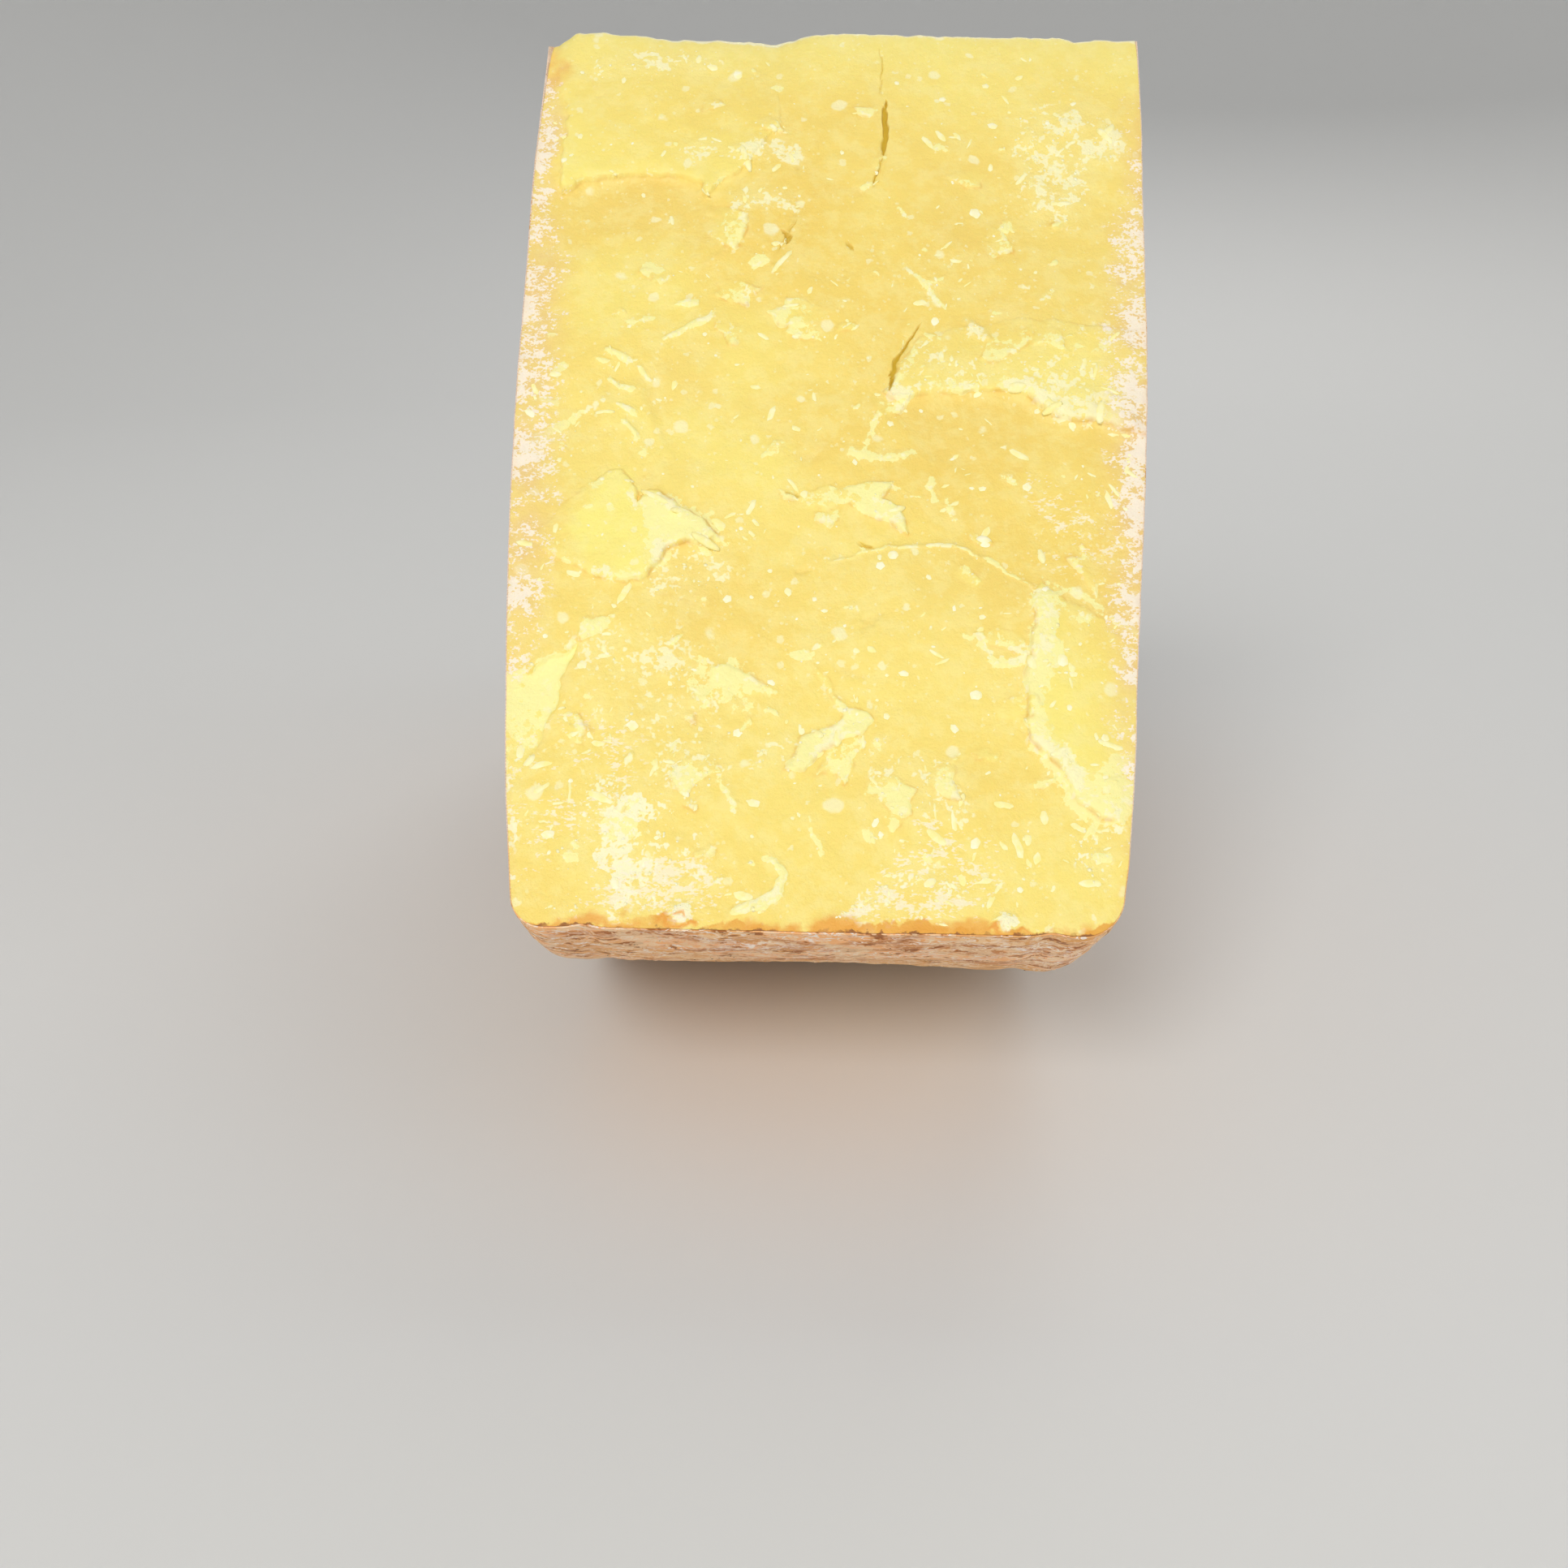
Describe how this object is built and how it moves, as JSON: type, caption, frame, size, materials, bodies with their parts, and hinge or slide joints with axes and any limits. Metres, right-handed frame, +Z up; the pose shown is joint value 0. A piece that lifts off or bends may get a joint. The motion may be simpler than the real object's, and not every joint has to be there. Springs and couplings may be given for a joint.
{
  "type": "bagoss cheese chunk",
  "caption": "Quarter-wheel chunk of aged hard cheese standing on its curved rind, with two broken cut faces that meet in a blunt crest on top.",
  "frame": {"origin": "middle of the small flat spot on the rind that the chunk stands on", "axes": "+Z up; +X along the wheel's axis, across the chunk's thickness; the cut face with the broken flakes looks towards -Y and up, so +Y runs across the sector, its longest side"},
  "size_m": [0.1393, 0.294, 0.2177],
  "materials": {
    "paste": "firm, waxy, pale straw-yellow cheese with fine white crystals",
    "rind": "dry, oiled brown-orange rind with a whitish bloom and the imprint of a cloth"
  },
  "bodies": {
    "root": {"cheese_chunk": "paste"}
  },
  "joints": []
}
